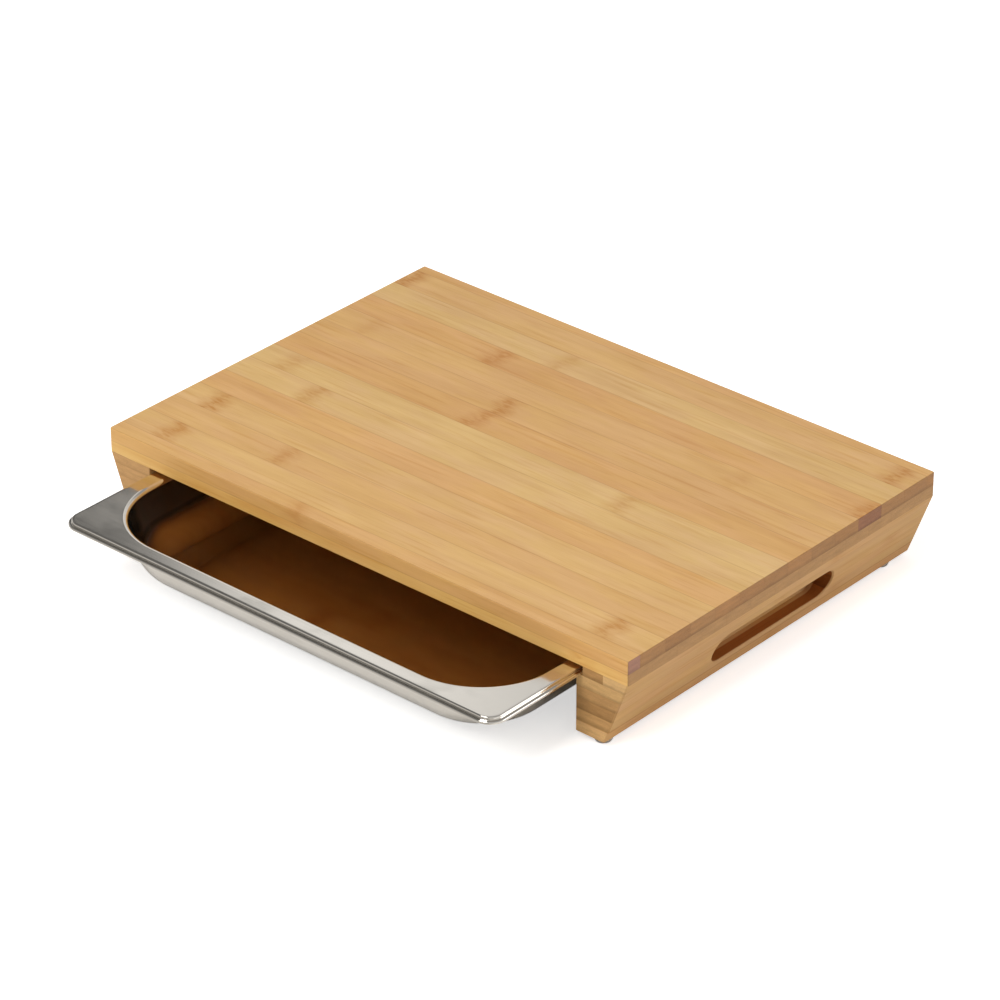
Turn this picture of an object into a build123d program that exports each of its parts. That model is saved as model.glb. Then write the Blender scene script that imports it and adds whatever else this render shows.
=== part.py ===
from build123d import *
from math import sqrt
import os

# Bamboo cutting board on two side rails, with a stainless steel pan that slides out between them.
# Millimetres. X runs along the long front edge, -Y is the front, where the pan comes out, and +Z is up.
# The origin is the centre of the cutting surface. The pan is drawn partly pulled out.

# Pan: one pressed sheet with the rim of a half-size catering pan, a flat flange and a stepped, turned-down lip
pan_length = 325.0
pan_width = 265.0
pan_depth = 36.0
sheet = 0.8
rim_to_mouth = 13.0
mouth_corner = 48.0
wall_draft = 12.0
floor_bend = 21.5
shoulder_bend = 2.5
lip_corner = 11.0
lip_width = 3.5
lip_height = 3.7
lip_step = 2.0
lip_ledge = 1.9
lip_bend = 0.7
lip_root = 2.0

# Board: two plies of bamboo strips that run along X
upper_ply = 8.4
lower_ply = 7.1
strip_width = 21.2
upper_first_strip = 10.0
lower_first_strip = 20.0
narrowest_strip = 4.0
board_arris = 0.8
corner_round = 1.2

# Side rails: stacked bamboo layers, upright inside and leaning inwards outside
rail_head_width = 31.5
rail_foot_width = 19.7
rail_layer = 7.2
rail_bottom_round = 2.0
rail_arris = 0.8
groove_depth = 4.3
grip_length = 105.5
grip_height = 19.5
grip_back_wall = 13.5
grip_arris = 0.8

# Clearances
pan_side_play = 1.0
pan_top_play = 2.0
pan_seat_gap = 0.3
pan_floor_lift = 5.0
pan_home_inset = 1.0
pan_back_room = 6.0
tongue_fit = 0.1
tongue_end_gap = 0.5

# Making allowances: how far a cut runs past a face, and how far off level an edge may lie when it is picked
overcut = 1.0
level_play = 0.01

# How far the pan is pulled out of its home position
pan_pull = 73.5

# Tongues: a loose slat glued half into each rail and half into the board
tongue_thickness = 5.0
tongue_height = 14.0
tongue_in_board = 6.0
tongue_from_ends = 25.0

# Feet: small bumpers stuck under the rails
foot_diameter = 11.0
foot_height = 3.0
foot_from_side = 1.0
foot_from_front = 2.0
foot_from_back = 12.5

# Places that follow from the sizes
mouth_length = pan_length - 2 * rim_to_mouth
mouth_width = pan_width - 2 * rim_to_mouth
groove_height = pan_seat_gap + lip_height + pan_top_play
groove_wall_x = pan_length / 2 + pan_side_play
board_length = 2 * (groove_wall_x + rail_head_width)
board_depth = pan_home_inset + pan_width + pan_back_room
board_thickness = upper_ply + lower_ply
front_y = -board_depth / 2
back_y = board_depth / 2
bay_wall_x = groove_wall_x - groove_depth
rail_foot_x = bay_wall_x + rail_foot_width
rail_top_z = -board_thickness
ledge_z = rail_top_z - groove_height
pan_rim_z = ledge_z + pan_seat_gap + lip_height
rail_bottom_z = pan_rim_z - pan_depth - pan_floor_lift
pan_home_y = front_y + pan_home_inset + pan_width / 2
pan_y = pan_home_y - pan_pull
tongue_x = (groove_wall_x + board_length / 2) / 2
tongue_length = board_depth - 2 * tongue_from_ends
tongue_top_z = rail_top_z + tongue_in_board


def block(x0, x1, y0, y1, z0, z1):
    """A box from its limits along each axis."""
    middle = Pos((x0 + x1) / 2, (y0 + y1) / 2, (z0 + z1) / 2)
    return middle * Box(x1 - x0, y1 - y0, z1 - z0)


# ---- Tongues and their slots

def tongue():
    """The tongue of the right rail."""
    half = tongue_thickness / 2
    reach = tongue_length / 2
    bottom_z = tongue_top_z - tongue_height
    return block(tongue_x - half, tongue_x + half, -reach, reach, bottom_z, tongue_top_z)


def tongue_slots():
    """The routed slots of both tongues, with round ends past the square ends of the tongues."""
    width = tongue_thickness + 2 * tongue_fit
    length = tongue_length + 2 * tongue_end_gap + width
    height = tongue_height + 2 * tongue_end_gap
    slot = extrude(Rot(Z=90) * SlotOverall(length, width), height)
    bottom_z = tongue_top_z - tongue_height - tongue_end_gap
    return [Pos(side * tongue_x, 0, bottom_z) * slot for side in (-1, 1)]


# ---- Board

def strip_lines(first_strip):
    """Y of the glue lines of a ply, front edge and back edge included."""
    lines = [front_y, front_y + first_strip]
    while back_y - lines[-1] > strip_width + narrowest_strip:
        lines.append(lines[-1] + strip_width)
    return lines + [back_y]


def board_blank():
    """The glued-up board with rounded corners and arrises, slotted from below for the tongues."""
    blank = block(-board_length / 2, board_length / 2, front_y, back_y, -board_thickness, 0)
    blank = fillet(blank.edges().filter_by(Axis.Z), corner_round)
    blank = fillet(blank.faces().sort_by(Axis.Z)[-1].edges(), board_arris)
    return blank - tongue_slots()


def ply_strips(blank, first_strip, bottom_z, top_z):
    """The strips of one ply, cut out of the blank from front to back."""
    lines = strip_lines(first_strip)
    reach = board_length
    return [blank & block(-reach, reach, y0, y1, bottom_z, top_z) for y0, y1 in zip(lines, lines[1:])]


# ---- Side rails

def rail_section():
    """Section of the right rail in the XZ plane: upright inner face, outer face leaning inwards."""
    outline = Polyline(
        (bay_wall_x, rail_top_z),
        (board_length / 2, rail_top_z),
        (rail_foot_x, rail_bottom_z),
        (bay_wall_x, rail_bottom_z),
        close=True,
    )
    section = make_face(outline)
    outer_foot = section.vertices().sort_by(Axis.Y)[:2].sort_by(Axis.X)[-1]
    return fillet(outer_foot, rail_bottom_round)


def groove_end_y():
    """Where the groove stops: the rounded corner of the pan's lip meets it first, in the home position."""
    lip_in_groove = pan_length / 2 - bay_wall_x
    corner_setback = lip_corner - sqrt(lip_corner**2 - (lip_corner - lip_in_groove) ** 2)
    return pan_home_y + pan_width / 2 - corner_setback + pan_seat_gap


def groove():
    """The groove under the board that the pan's lip runs in, open at the front."""
    open_x = bay_wall_x - overcut
    open_y = front_y - overcut
    return block(open_x, groove_wall_x, open_y, groove_end_y(), ledge_z, rail_top_z + overcut)


def grip_pocket():
    """The hand grip: a level slot with round ends, cut into the leaning outer face."""
    back_x = bay_wall_x + grip_back_wall
    middle_z = (rail_top_z + rail_bottom_z) / 2
    outline = Plane.YZ.offset(back_x) * Pos(0, middle_z) * SlotOverall(grip_length, grip_height)
    return extrude(outline, board_length / 2)


def leaning_face(rail):
    """The outer face of the right rail: the largest of those that look out to the side."""
    looks_out = rail.faces().filter_by(lambda face: face.normal_at().X > abs(face.normal_at().Z))
    return looks_out.filter_by(GeomType.PLANE).sort_by(SortBy.AREA)[-1]


def rail_blank():
    """The right rail as milled after gluing: lean, eased corners, grip, groove and slot."""
    rail = extrude(Plane.XZ * rail_section(), board_depth / 2, both=True)
    ends = leaning_face(rail).edges().filter_by(Axis.Y, reverse=True)
    rail = chamfer(ends, rail_arris) - grip_pocket()
    rail = chamfer(leaning_face(rail).inner_wires()[0].edges(), grip_arris)
    return rail - groove() - tongue_slots()


def layer_lines():
    """Z of the glue lines of a rail from the top down. The first one is at the groove's ledge."""
    lines = [rail_top_z, ledge_z]
    full_layers = round((ledge_z - rail_bottom_z) / rail_layer)
    lines += [ledge_z - rail_layer * n for n in range(1, full_layers)]
    return lines + [rail_bottom_z]


def rail_layers(rail):
    """The layers of a rail, cut out of its blank from the top down."""
    lines = layer_lines()
    reach = board_length
    return [rail & block(0, reach, -reach, reach, z0, z1) for z1, z0 in zip(lines, lines[1:])]


# ---- Feet

def foot():
    """A round bumper, its top at z = 0."""
    return extrude(Circle(foot_diameter / 2), foot_height, dir=(0, 0, -1))


def foot_places():
    """Name and centre of each foot."""
    radius = foot_diameter / 2
    x = rail_foot_x - foot_from_side - radius
    front = front_y + foot_from_front + radius
    back = back_y - foot_from_back - radius
    ends = {"front": front, "back": back}
    sides = {"left": -x, "right": x}
    return {f"foot_{end}_{side}": (sides[side], ends[end], rail_bottom_z) for end in ends for side in sides}


# ---- Pan, drawn about its own centre with the flange's top at z = 0

flat_length = pan_length - 2 * lip_width
flat_width = pan_width - 2 * lip_width
flat_corner = lip_corner - lip_width


def bowl(spare, depth):
    """The space inside the pan, grown by a spare all round, down to a depth below the flange."""
    mouth = RectangleRounded(mouth_length + 2 * spare, mouth_width + 2 * spare, mouth_corner + spare)
    body = extrude(mouth, depth, dir=(0, 0, -1), taper=wall_draft)
    return fillet(body.faces().sort_by(Axis.Z)[0].edges(), floor_bend + spare)


def lip_section():
    """Section of the lip, X outwards from the flat: a step down, a narrow ledge and a turned-down edge."""
    step_x = lip_width - lip_ledge
    top = [(step_x, 0), (step_x, -lip_step), (lip_width, -lip_step)]
    under = [(x - sheet, z - sheet) for x, z in reversed(top)]
    root = [(-lip_root, -sheet), (-lip_root, 0)]
    foot = [(lip_width, -lip_height), (lip_width - sheet, -lip_height)]
    section = make_face(Polyline(*root, *top, *foot, *under, close=True))
    flat_bend = section.vertices().group_by(Axis.Y)[-1].sort_by(Axis.X)[-1]
    ledge_bend = section.vertices().group_by(Axis.X)[-1].sort_by(Axis.Y)[-1]
    return chamfer([flat_bend, ledge_bend], lip_bend)


def lip():
    """The lip, swept round the flange."""
    path = RectangleRounded(flat_length, flat_width, flat_corner).wire()
    along = path % 0
    outwards = along.cross(Vector(0, 0, 1))
    if outwards.dot(path @ 0) < 0:
        outwards = -outwards
    start = Plane(origin=path @ 0, x_dir=outwards, z_dir=outwards.cross(Vector(0, 0, 1)))
    return sweep(start * lip_section(), path=path)


def mouth_edges(shape, z):
    """The edges round the pan's mouth at one height, without those of the flange's rim."""
    reach_x = mouth_length / 2 + 2 * sheet
    reach_y = mouth_width / 2 + 2 * sheet
    level = shape.edges().filter_by_position(Axis.Z, z - level_play, z + level_play)
    return level.filter_by_position(Axis.X, -reach_x, reach_x).filter_by_position(Axis.Y, -reach_y, reach_y)


def pan():
    """The pressed pan: flange, rounded shoulder, drafted walls, wide floor bend and lip."""
    root = lip_root / 2
    flange = RectangleRounded(flat_length - 2 * root, flat_width - 2 * root, flat_corner - root)
    shell = extrude(flange, sheet, dir=(0, 0, -1)) + bowl(sheet, pan_depth)
    under_bevel = (shoulder_bend - sheet) * (2 - sqrt(2))
    shell = chamfer(mouth_edges(shell, -sheet), under_bevel)
    shell -= bowl(0, pan_depth - sheet)
    shell = fillet(mouth_edges(shell, 0), shoulder_bend)
    return Pos(0, pan_y, pan_rim_z) * (shell + lip())


# ---- The parts, one file each

def numbered(name, solids, digits):
    """Names for pieces that come in a row."""
    return {f"{name}_{n:0{digits}d}": solid for n, solid in enumerate(solids, start=1)}


def both_sides():
    """The layers and tongues of the two rails. The left ones mirror the right ones."""
    right = numbered("rail_layer", rail_layers(rail_blank()), 1)
    right["tongue"] = tongue()
    pieces = {f"right_{name}": piece for name, piece in right.items()}
    pieces |= {f"left_{name}": mirror(piece, about=Plane.YZ) for name, piece in right.items()}
    return pieces


def assembly():
    """Every piece by name, in place."""
    blank = board_blank()
    pieces = numbered("top_strip", ply_strips(blank, upper_first_strip, -upper_ply, 0), 2)
    pieces |= numbered("under_strip", ply_strips(blank, lower_first_strip, -board_thickness, -upper_ply), 2)
    pieces |= both_sides()
    pieces |= {name: Pos(*place) * foot() for name, place in foot_places().items()}
    pieces["drawer_pan"] = pan()
    return pieces


os.makedirs("parts", exist_ok=True)
for name, piece in assembly().items():
    piece.label = name
    export_step(piece, f"parts/{name}.step")
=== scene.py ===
"""Bamboo cutting board on two side rails, with a pressed steel pan that slides out under it.

The solids of the wood come from the packed model and get their finish here, strip by strip.
The pan and the bumper feet are made here, in metres, on the places that the packed model gives.
"""

import math
import random

import bmesh
import bpy
from bpy.props import FloatProperty, FloatVectorProperty, IntProperty, PointerProperty
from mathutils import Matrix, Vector


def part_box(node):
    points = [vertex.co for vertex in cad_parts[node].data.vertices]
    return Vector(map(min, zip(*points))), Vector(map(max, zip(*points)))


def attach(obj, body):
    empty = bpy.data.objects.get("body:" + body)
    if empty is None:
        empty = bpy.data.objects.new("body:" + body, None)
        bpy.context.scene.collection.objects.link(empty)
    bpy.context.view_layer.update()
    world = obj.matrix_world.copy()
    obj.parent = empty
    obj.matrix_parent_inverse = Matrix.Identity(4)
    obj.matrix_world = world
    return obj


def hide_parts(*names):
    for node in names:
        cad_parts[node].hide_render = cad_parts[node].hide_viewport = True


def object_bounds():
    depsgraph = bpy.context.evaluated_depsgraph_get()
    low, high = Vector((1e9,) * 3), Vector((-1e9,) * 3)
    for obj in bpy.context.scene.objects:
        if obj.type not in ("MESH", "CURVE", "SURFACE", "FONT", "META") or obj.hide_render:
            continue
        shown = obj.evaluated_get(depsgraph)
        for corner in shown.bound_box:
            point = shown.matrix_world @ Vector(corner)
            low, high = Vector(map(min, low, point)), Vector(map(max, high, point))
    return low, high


bl_info = {
    "name": "Cutting Board with Sliding Pan",
    "version": (1, 0, 0),
    "blender": (4, 5, 0),
    "location": "3D View > Sidebar > Cutting Board",
    "description": "Dresses the bamboo board and rails, and makes the steel pan, the feet and the studio",
    "category": "Object",
}

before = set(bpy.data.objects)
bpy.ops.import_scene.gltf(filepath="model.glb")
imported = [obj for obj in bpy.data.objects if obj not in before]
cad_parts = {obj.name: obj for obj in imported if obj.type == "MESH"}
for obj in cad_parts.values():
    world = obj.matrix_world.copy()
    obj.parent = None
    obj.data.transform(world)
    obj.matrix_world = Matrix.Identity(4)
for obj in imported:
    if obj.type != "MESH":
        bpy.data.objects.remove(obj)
CAD_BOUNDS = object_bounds()
FRONT_Y = CAD_BOUNDS[0][1]

MM = 0.001
BOARD_BODY = "board_frame"
PAN_BODY = "pan_drawer"
PAN_NODE = "drawer_pan"
FOOT_NODES = ("foot_front_left", "foot_front_right", "foot_back_left", "foot_back_right")
TONGUE_NODES = ("left_tongue", "right_tongue")

# A joint or a culm node this far off, in millimetres, isn't there
OPEN = 10000.0

# Culm nodes that show on the cutting surface, for each strip from the front: two places along it,
# in millimetres, and how strong they are
TOP_MARKS = {
    1: (-50.0, OPEN, 0.55),
    2: (-164.0, 166.0, 0.90),
    3: (-96.0, OPEN, 0.65),
    4: (-170.0, OPEN, 1.00),
    5: (OPEN, OPEN, 0.00),
    6: (-134.0, OPEN, 0.80),
    7: (-169.0, 86.0, 0.60),
    8: (-41.0, OPEN, 0.80),
    9: (-39.0, OPEN, 0.95),
    10: (-165.0, 118.0, 0.35),
    11: (-82.0, 194.0, 0.85),
    12: (-47.0, OPEN, 0.55),
    13: (-190.0, 181.0, 1.00),
    14: (OPEN, OPEN, 0.00),
}

# How bright each strip of the cutting surface is, from the front, at the usual spread
TOP_TONES = (0.99, 1.02, 0.98, 1.02, 0.98, 1.04, 1.05, 0.95, 0.96, 0.99, 0.95, 1.03, 0.98, 0.97)
USUAL_SPREAD = 0.035

# How much warmer a strip is for each part that it is darker, and what warmth does to red, green and blue
DARK_WARMTH = 2.0
WARMTH = (0.3, -0.3, -0.8)

# Strips that end within half a millimetre of their ply's side lie along it
SIDE_SLACK = 0.5

# White, and what the bamboo's own colours are multiplied by
WHITE = (1.0, 1.0, 1.0, 1.0)
YELLOW_CAST = (1.00, 1.00, 0.93, 1.0)
PINK_CAST = (1.00, 0.985, 1.03, 1.0)
SOFT_LINE = (0.88, 0.77, 0.56, 1.0)
DARK_BUNDLE = (0.80, 0.68, 0.52, 1.0)
NODE_BROWN = (0.86, 0.68, 0.42, 1.0)
GLUE_BROWN = (0.54, 0.37, 0.21, 1.0)


# ---- Sizes and colours that a user would change

def colour_setting(name, description, default):
    """A colour that shows as a swatch."""
    return FloatVectorProperty(
        name=name, description=description, subtype="COLOR", size=4, min=0.0, max=1.0, default=(*default, 1.0)
    )


def length_setting(name, description, millimetres):
    """A length, kept in metres."""
    return FloatProperty(
        name=name, description=description, default=millimetres * MM, min=0.0, unit="LENGTH", precision=5
    )


def share_setting(name, description, default, most=1.0):
    """A share, from 0 to 1 unless it has to stay lower."""
    return FloatProperty(
        name=name, description=description, subtype="FACTOR", default=default, min=0.0, max=most
    )


class BambooSettings(bpy.types.PropertyGroup):
    """Colours and grain of the bamboo."""

    top_pale: colour_setting("Top Pale", "Light fibres of the cutting surface", (0.740, 0.455, 0.182))
    top_deep: colour_setting("Top Deep", "Dark fibres of the cutting surface", (0.615, 0.345, 0.118))
    under_pale: colour_setting("Under Pale", "Light fibres of the lower ply", (0.820, 0.510, 0.170))
    under_deep: colour_setting("Under Deep", "Dark fibres of the lower ply", (0.680, 0.340, 0.075))
    rail_pale: colour_setting("Rail Pale", "Light fibres of the rails", (0.630, 0.382, 0.165))
    rail_deep: colour_setting("Rail Deep", "Dark fibres of the rails", (0.540, 0.306, 0.122))
    end_grain: colour_setting("End Grain", "Cut ends of the upper ply", (0.400, 0.194, 0.064))
    under_end: colour_setting("Under End Grain", "Cut ends of the lower ply", (0.440, 0.235, 0.085))
    rail_end: colour_setting("Rail End Grain", "Cut ends of the rail layers", (0.500, 0.285, 0.118))
    # Painted shade for the inside of the milled grips
    grip_painted_shade: colour_setting("Grip Painted Shade", "Darkening of the wood inside the milled grips", (0.58, 0.32, 0.14))
    tone_spread: FloatProperty(
        name="Tone Spread", description="How far strips differ in brightness",
        default=USUAL_SPREAD, min=0.0, max=0.5
    )
    streaks: FloatProperty(
        name="Streaks", description="Contrast of the fibres", default=0.8, min=0.0, max=2.0
    )
    roughness: share_setting("Roughness", "Roughness of the oiled wood", 0.46)
    grain_depth: length_setting("Grain Depth", "Depth of the fibres", 0.12)


class PanSettings(bpy.types.PropertyGroup):
    """Sizes of the pressed pan."""

    sheet: length_setting("Sheet", "Thickness of the steel", 0.8)
    rim_to_mouth: length_setting("Rim to Mouth", "From the outside of the lip to the mouth", 13.0)
    mouth_corner: length_setting("Mouth Corner", "Corner radius of the mouth", 48.0)
    depth: length_setting("Depth", "From the flange down to the underside of the floor", 36.0)
    draft: FloatProperty(
        name="Draft", description="Lean of the walls", subtype="ANGLE", default=math.radians(12.0)
    )
    floor_bend: length_setting("Floor Bend", "Inside radius between wall and floor", 21.5)
    shoulder_bend: length_setting("Shoulder Bend", "Radius between flange and wall", 3.2)
    lip_corner: length_setting("Lip Corner", "Outside corner radius of the lip", 11.0)
    lip_width: length_setting("Lip Width", "From the flat of the flange to the outside", 3.5)
    lip_height: length_setting("Lip Height", "From the flange down to the lip's edge", 3.7)
    lip_step: length_setting("Lip Step", "Drop from the flange to the ledge", 2.0)
    lip_ledge: length_setting("Lip Ledge", "Width of the ledge", 1.9)
    lip_bend: length_setting("Lip Bend", "Outside radius of the lip's bends", 0.7)
    corner_steps: IntProperty(name="Corner Steps", description="Faces round each corner", default=28, min=4)
    side_steps: IntProperty(name="Side Steps", description="Faces along each side", default=6, min=1)
    bend_steps: IntProperty(name="Bend Steps", description="Faces across the floor bend", default=20, min=3)


class SteelSettings(bpy.types.PropertyGroup):
    """Finish of the steel."""

    tint: colour_setting("Tint", "Colour of the steel", (0.760, 0.718, 0.652))
    dull: colour_setting("Dull Tint", "Colour of the smudged steel", (0.690, 0.650, 0.585))
    roughness: share_setting("Roughness", "Roughness of the clean steel", 0.09)
    smudge_roughness: share_setting("Smudges", "Extra roughness in smudges", 0.07)
    wave_depth: length_setting("Wave Depth", "Depth of the waves left by pressing", 0.05)


class FootSettings(bpy.types.PropertyGroup):
    """Shape and colour of the bumper feet."""

    rounding: share_setting("Rounding", "How far the foot draws in towards its tip", 0.30, 0.95)
    sides: IntProperty(name="Sides", description="Faces round each foot", default=48, min=8)
    rings: IntProperty(name="Rings", description="Faces down each foot", default=12, min=3)
    colour: colour_setting("Colour", "Colour of the soft plastic", (0.740, 0.660, 0.570))
    clearness: share_setting("Clearness", "How much light passes through", 0.45)


class StudioSettings(bpy.types.PropertyGroup):
    """Light, floor and camera."""

    floor: colour_setting("Floor", "Colour of the floor", (0.900, 0.900, 0.900))
    floor_size: FloatProperty(name="Floor Size", description="Side of the floor", default=14.0, unit="LENGTH")
    floor_glow: FloatProperty(
        name="Floor Glow", description="Light added to the floor for the camera alone", default=0.58, min=0.0
    )
    ambient: FloatProperty(name="Ambient", description="Light from all round", default=0.50, min=0.0)
    key_power: FloatProperty(
        name="Key Power", description="Lamp over the front left", default=31.0, unit="POWER"
    )
    side_power: FloatProperty(name="Side Power", description="Lamp at the right", default=9.0, unit="POWER")
    lens: FloatProperty(name="Lens", description="Focal length on a 36 mm sensor", default=168.05)


# ---- Node trees

class Wiring:
    """Adds nodes to one tree and wires them up as it goes."""

    column = 190
    row = 240
    rows = 6

    def __init__(self, tree):
        self.tree = tree

    def add(self, kind, inputs=None, **settings):
        """A new node with its settings, and its inputs wired or set by name or number."""
        node = self.tree.nodes.new(kind)
        place = len(self.tree.nodes) - 1
        node.location = (self.column * (place // self.rows), -self.row * (place % self.rows))
        for key, value in settings.items():
            setattr(node, key, value)
        for key, value in (inputs or {}).items():
            self.feed(node.inputs[key], value)
        return node

    def feed(self, socket, value):
        """Wires a socket, or sets its value."""
        if isinstance(value, bpy.types.NodeSocket):
            self.tree.links.new(value, socket)
        else:
            socket.default_value = value

    def math(self, operation, *values, clamp=False):
        """A number worked out from one to three others."""
        node = self.add("ShaderNodeMath", dict(enumerate(values)), operation=operation, use_clamp=clamp)
        return node.outputs[0]

    def chain(self, operation, first, *others):
        """A number worked out step by step, from the first to the last."""
        for other in others:
            first = self.math(operation, first, other)
        return first

    def times(self, *numbers):
        """Numbers multiplied."""
        return self.chain("MULTIPLY", *numbers)

    def plus(self, *numbers):
        """Numbers added up."""
        return self.chain("ADD", *numbers)

    def minus(self, first, second):
        """One number less another."""
        return self.math("SUBTRACT", first, second)

    def least(self, *numbers):
        """The least of several numbers."""
        return self.chain("MINIMUM", *numbers)

    def most(self, *numbers):
        """The greatest of several numbers."""
        return self.chain("MAXIMUM", *numbers)

    def vector(self, operation, *values):
        """A vector worked out from one or two others."""
        node = self.add("ShaderNodeVectorMath", dict(enumerate(values)), operation=operation)
        return node.outputs[0]

    def dot(self, first, second):
        """How far one vector goes along another."""
        node = self.add("ShaderNodeVectorMath", {0: first, 1: second}, operation="DOT_PRODUCT")
        return node.outputs["Value"]

    def split(self, vector):
        """The three numbers of a vector."""
        return self.add("ShaderNodeSeparateXYZ", {0: vector}).outputs

    def join(self, x=0.0, y=0.0, z=0.0):
        """A vector put together from three numbers."""
        return self.add("ShaderNodeCombineXYZ", {0: x, 1: y, 2: z}).outputs[0]

    def in_millimetres(self, place):
        """A place in metres, in millimetres."""
        return self.add("ShaderNodeVectorMath", {0: place, 3: 1.0 / MM}, operation="SCALE").outputs[0]

    def noise(self, place, stretch, detail=2.0, roughness=0.5):
        """Soft noise, from 0 to 1, with its own number of waves per unit along each axis."""
        stretched = self.vector("MULTIPLY", place, stretch)
        inputs = {"Vector": stretched, "Scale": 1.0, "Detail": detail, "Roughness": roughness}
        return self.add("ShaderNodeTexNoise", inputs).outputs[0]

    def span(self, value, low, high, to_low=0.0, to_high=1.0):
        """A smooth step between two values."""
        inputs = {"Value": value, "From Min": low, "From Max": high, "To Min": to_low, "To Max": to_high}
        return self.add("ShaderNodeMapRange", inputs, interpolation_type="SMOOTHSTEP").outputs[0]

    def mix(self, factor, first, second, blend="MIX"):
        """Two colours mixed."""
        node = self.add("ShaderNodeMix", data_type="RGBA", blend_type=blend)
        self.feed(node.inputs[0], factor)
        self.feed(node.inputs[6], first)
        self.feed(node.inputs[7], second)
        return node.outputs[2]

    def tinted(self, colour, tint):
        """A colour multiplied by another."""
        return self.mix(1.0, colour, tint, "MULTIPLY")

    def stained(self, mask, colour, tint):
        """A colour multiplied by another where the mask says so."""
        return self.mix(mask, colour, self.tinted(colour, tint))


def new_group(name, inputs, outputs, kind_of_tree="ShaderNodeTree"):
    """An empty node group with named inputs, given as (name, kind, default), and named outputs."""
    tree = bpy.data.node_groups.new(name, kind_of_tree)
    for label, kind, default in inputs:
        socket = tree.interface.new_socket(name=label, in_out="INPUT", socket_type="NodeSocket" + kind)
        socket.default_value = default
    for label, kind in outputs:
        tree.interface.new_socket(name=label, in_out="OUTPUT", socket_type="NodeSocket" + kind)
    wiring = Wiring(tree)
    start = wiring.add("NodeGroupInput")
    return tree, wiring, start.outputs


def finish_group(wiring, results):
    """Wires the results to the group's outputs."""
    end = wiring.add("NodeGroupOutput")
    for label, socket in results.items():
        wiring.feed(end.inputs[label], socket)


def fibres(w, given, grain):
    """Fine hairs, short dark bundles, soft lines, bands a few millimetres wide and broad clouds."""
    hairs = w.noise(grain, (0.045, 1.7, 1.7), 3.0, 0.6)
    bundles = w.span(w.noise(grain, (0.045, 1.15, 1.15), 1.0), 0.60, 0.74)
    lines = w.span(w.noise(grain, (0.018, 0.42, 0.42), 2.0, 0.5), 0.54, 0.74)
    bands = w.noise(grain, (0.012, 0.20, 0.20), 2.0)
    clouds = w.noise(grain, (0.016, 0.06, 0.06), 3.0)
    tone = w.plus(w.times(hairs, 0.60), w.times(bands, 1.05), w.times(clouds, 1.20))
    tone = w.times(w.minus(tone, 1.425), given["Streaks"])
    deep = w.math("ADD", w.times(tone, 1.3), 0.42, clamp=True)
    colour = w.mix(deep, given["Pale"], given["Deep"])
    aside = w.vector("ADD", grain, (90.0, 40.0, 0.0))
    blush = w.span(w.noise(aside, (0.022, 0.075, 0.075), 2.0), 0.36, 0.64)
    colour = w.tinted(colour, w.mix(blush, YELLOW_CAST, PINK_CAST))
    colour = w.stained(w.times(lines, w.times(given["Streaks"], 0.78)), colour, SOFT_LINE)
    colour = w.stained(w.times(bundles, w.times(given["Streaks"], 0.32)), colour, DARK_BUNDLE)
    return colour, hairs, bundles


def culm_nodes(w, given, grain, x, colour):
    """A soft ragged band across the strip at each mark, with a broken darker core."""
    wander = w.times(w.minus(w.noise(grain, (0.0, 0.10, 0.10), 1.0), 0.5), 10.0)
    ragged = w.times(w.minus(w.noise(grain, (0.10, 0.8, 0.8), 2.0), 0.5), 10.0)
    along = w.plus(x, w.plus(wander, ragged))
    near = w.least(*(w.math("ABSOLUTE", w.minus(along, given[label])) for label in ("Mark A", "Mark B")))
    patchy = w.span(w.noise(grain, (0.11, 0.22, 0.22), 2.0), 0.30, 0.62)
    halo = w.times(w.span(near, 12.5, 2.0), w.plus(w.times(patchy, 0.6), 0.4))
    broken = w.span(w.noise(grain, (0.14, 0.6, 0.6), 1.0), 0.38, 0.60)
    core = w.times(w.span(near, 5.2, 0.8), broken)
    mark = w.math("ADD", w.times(halo, 0.62), w.times(core, 0.42), clamp=True)
    mark = w.times(mark, given["Mark Strength"])
    return w.mix(mark, colour, w.tinted(given["Deep"], NODE_BROWN))


def cut_end(w, given, grain, y, z, over_joint):
    """Fine vessel dots in a paler ground, in soft layers, darker towards the skin of the culm."""
    cell = w.join(y=w.times(y, 1.15), z=w.times(z, 1.5))
    dots = w.add("ShaderNodeTexVoronoi", {"Vector": cell, "Scale": 1.0, "Randomness": 0.8})
    dots = w.span(dots.outputs["Distance"], 0.22, 0.46)
    ground = w.noise(grain, (0.0, 0.09, 0.55), 3.0)
    fine = w.noise(grain, (0.0, 1.2, 1.9), 2.0)
    tone = w.plus(w.times(dots, 0.10), w.times(ground, 0.50), w.times(fine, 0.20), 0.56)
    wavy = w.times(w.noise(grain, (0.0, 0.16, 0.0), 1.0), 2.2)
    skin = w.times(w.span(w.minus(over_joint, wavy), 1.6, -0.9), given["Skin Shade"])
    tone = w.times(tone, w.minus(1.0, skin))
    colour = w.tinted(given["End Grain"], w.join(tone, tone, tone))
    beyond = w.span(y, w.minus(given["Split"], 0.25), w.plus(given["Split"], 0.25))
    return w.stained(beyond, colour, given["Split Tint"]), dots


def glue_lines(w, given, grain, below, above, is_end):
    """How strongly the line shows where this piece meets its neighbours."""
    gap = w.least(w.least(below[1], above[1]), w.least(below[2], above[2]))
    waver = w.times(w.noise(grain, (0.03, 0.4, 0.4), 1.0), 0.16)
    joint = w.span(gap, w.plus(waver, given["Joint Width"]), 0.02)
    on_end = w.plus(1.0, w.times(is_end, w.minus(given["End Joint"], 1.0)))
    return w.times(joint, given["Joint Strength"], on_end)


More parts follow.
